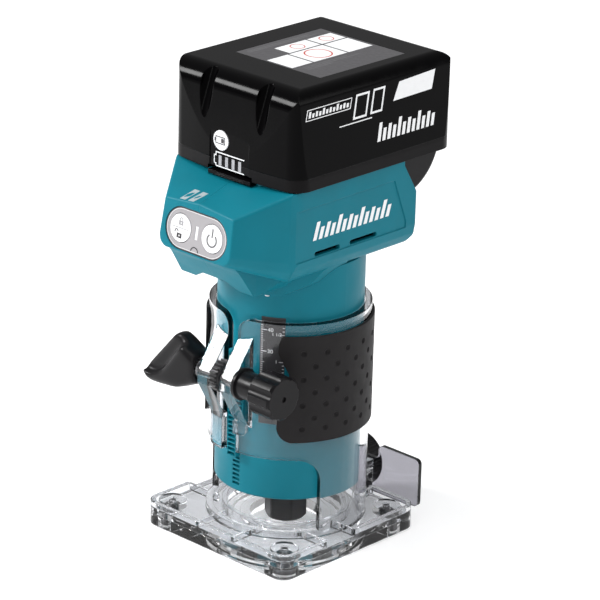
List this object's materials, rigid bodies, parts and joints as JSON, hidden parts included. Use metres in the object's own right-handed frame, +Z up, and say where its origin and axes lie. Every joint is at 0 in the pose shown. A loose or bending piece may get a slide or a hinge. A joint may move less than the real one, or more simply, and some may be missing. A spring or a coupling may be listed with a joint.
{
  "type": "trim router",
  "caption": "Cordless trim router: clear square base with clamp lever and depth knob, round motor unit with collet, buttons and slide-on battery.",
  "frame": {"origin": "on the spindle axis, in the plane of the base's underside", "axes": "+Z up along the spindle, -Y towards the switch panel, +X towards the depth adjusting knob"},
  "size_m": [0.089, 0.1227, 0.2183],
  "materials": {
    "clear_plastic": "clear polycarbonate, polished",
    "dark_steel": "blackened screw steel",
    "steel": "machined",
    "black_steel": "black oxide",
    "rubber_grip": "soft matt rubber with round dimples",
    "black_plastic": "fine satin",
    "blue_green_plastic": "fine satin moulding",
    "scale_print": "printed strip with white ticks",
    "core_steel": "laminated sheet",
    "copper": "enamelled wire",
    "lead_rubber": "insulated wire",
    "panel_grey": "satin membrane",
    "light_white": "translucent lens",
    "board_green": "solder mask",
    "brass_contact": "plated",
    "magnet": "nickel coated",
    "button_white": "satin",
    "battery_shell": "satin",
    "battery_gloss": "satin gloss",
    "cell_wrap": "heat-shrink sleeve",
    "label_print": "printed film"
  },
  "bodies": {
    "base": {"base_frame": "clear_plastic", "sub_base": "clear_plastic", "sub_base_screws": "dark_steel", "grip_right": "rubber_grip", "grip_left": "rubber_grip", "chip_guard": "clear_plastic"},
    "clamp_screw": {"rear_knob": "black_plastic", "rear_stud": "steel"},
    "adjuster": {"pinion_shaft": "black_steel", "adjusting_knob": "black_plastic"},
    "lever": {"lock_lever": "black_plastic", "lever_nut": "steel"},
    "motor_unit": {"motor_housing": "blue_green_plastic", "depth_rack": "blue_green_plastic", "depth_scale": "scale_print", "stator_core": "core_steel", "stator_windings": "copper", "lower_bearing": "steel", "upper_bearing": "steel", "bearing_plate": "black_plastic", "motor_leads": "lead_rubber", "head_left": "blue_green_plastic", "head_right": "blue_green_plastic", "head_screws": "steel", "switch_panel": "panel_grey", "mode_light": "light_white", "job_lights": "light_white", "switch_board": "board_green", "controller_board": "board_green", "contact_rail": "black_plastic", "contact_strips": "brass_contact", "rear_cap": "black_plastic"},
    "spindle": {"spindle_shaft": "steel", "rotor_core": "core_steel", "rotor_magnets": "magnet", "cooling_fan": "black_plastic", "collet": "steel"},
    "nut": {"collet_nut": "black_steel"},
    "lock_key": {"lock_button": "button_white"},
    "power_key": {"power_button": "button_white"},
    "battery": {"battery_lower_case": "battery_shell", "battery_upper_case": "battery_gloss", "battery_cells": "cell_wrap", "battery_label": "label_print", "charge_gauge": "light_white", "latch_spring": "steel"},
    "latch": {"latch_button": "battery_shell"},
    "check_key": {"check_button": "button_white"}
  },
  "joints": [
    {"name": "motor_depth", "type": "slide", "parent": "base", "child": "motor_unit", "axis": [0, 0, 1], "range_m": [-0.003, 0.037]},
    {"name": "adjuster_turn", "type": "hinge", "parent": "base", "child": "adjuster", "pos_m": [0, -0.042, 0.0834], "axis": [1, 0, 0], "range_deg": [-26, 318]},
    {"name": "lever_lock", "type": "hinge", "parent": "base", "child": "lever", "pos_m": [0, -0.042, 0.0834], "axis": [1, 0, 0], "range_deg": [0, 80]},
    {"name": "rear_knob_turn", "type": "hinge", "parent": "base", "child": "clamp_screw", "pos_m": [0, 0.046, 0.017], "axis": [0, 1, 0], "range_deg": [0, 720]},
    {"name": "spindle_spin", "type": "hinge", "parent": "motor_unit", "child": "spindle", "pos_m": [0, 0, 0.06], "axis": [0, 0, 1], "continuous": true},
    {"name": "nut_turn", "type": "hinge", "parent": "spindle", "child": "nut", "pos_m": [0, 0, 0.015], "axis": [0, 0, 1], "range_deg": [0, 720]},
    {"name": "lock_press", "type": "slide", "parent": "motor_unit", "child": "lock_key", "axis": [0, 0.987, -0.1606], "range_m": [0, 0.0008], "stiffness_N_per_m": 800},
    {"name": "power_press", "type": "slide", "parent": "motor_unit", "child": "power_key", "axis": [0, 0.987, -0.1606], "range_m": [0, 0.0008], "stiffness_N_per_m": 800},
    {"name": "battery_slide", "type": "slide", "parent": "motor_unit", "child": "battery", "axis": [0, -1, 0], "range_m": [0, 0.079]},
    {"name": "latch_press", "type": "slide", "parent": "battery", "child": "latch", "axis": [0, 0, 1], "range_m": [0, 0.0015], "stiffness_N_per_m": 900, "deforming": ["latch_spring"]},
    {"name": "check_press", "type": "slide", "parent": "battery", "child": "check_key", "axis": [0, 1, 0], "range_m": [0, 0.0006], "stiffness_N_per_m": 800}
  ],
  "couplings": [
    {"joint": "adjuster_turn", "follows": "motor_depth", "rad_per_m": 149.6}
  ]
}
